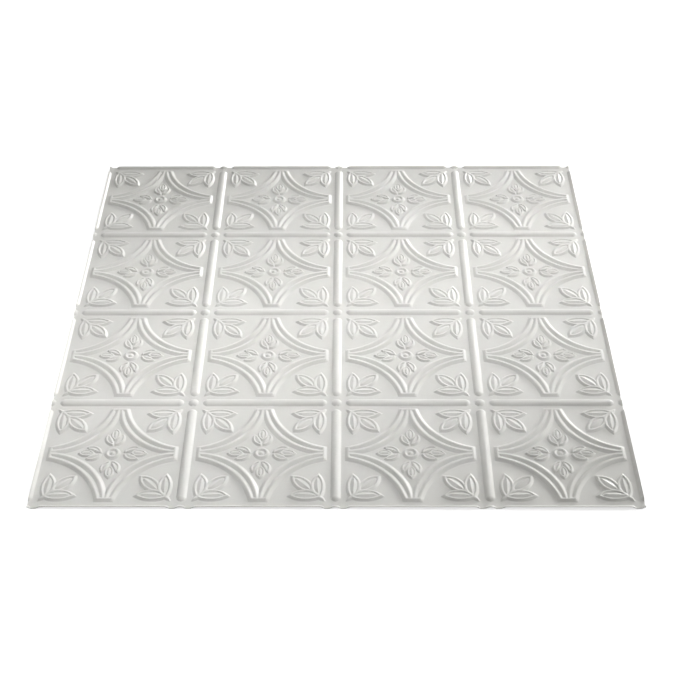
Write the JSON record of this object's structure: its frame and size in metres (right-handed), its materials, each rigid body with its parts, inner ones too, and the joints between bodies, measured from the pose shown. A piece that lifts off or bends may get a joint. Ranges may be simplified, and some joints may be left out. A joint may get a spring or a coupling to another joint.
{
  "type": "pvc drop ceiling tile",
  "caption": "Square vacuum-formed sheet with a traditional pressed-tin pattern of beads, double-ridged arcs and leaves, laid into a suspended ceiling grid.",
  "frame": {"origin": "centre of the tile on the back plane of its flat field", "axes": "+Z out of the ornamented face, +X and +Y along the edges"},
  "size_m": [0.6032, 0.6032, 0.0035],
  "materials": {
    "pvc_sheet": "satin white"
  },
  "bodies": {
    "root": {"ceiling_tile": "pvc_sheet"}
  },
  "joints": []
}
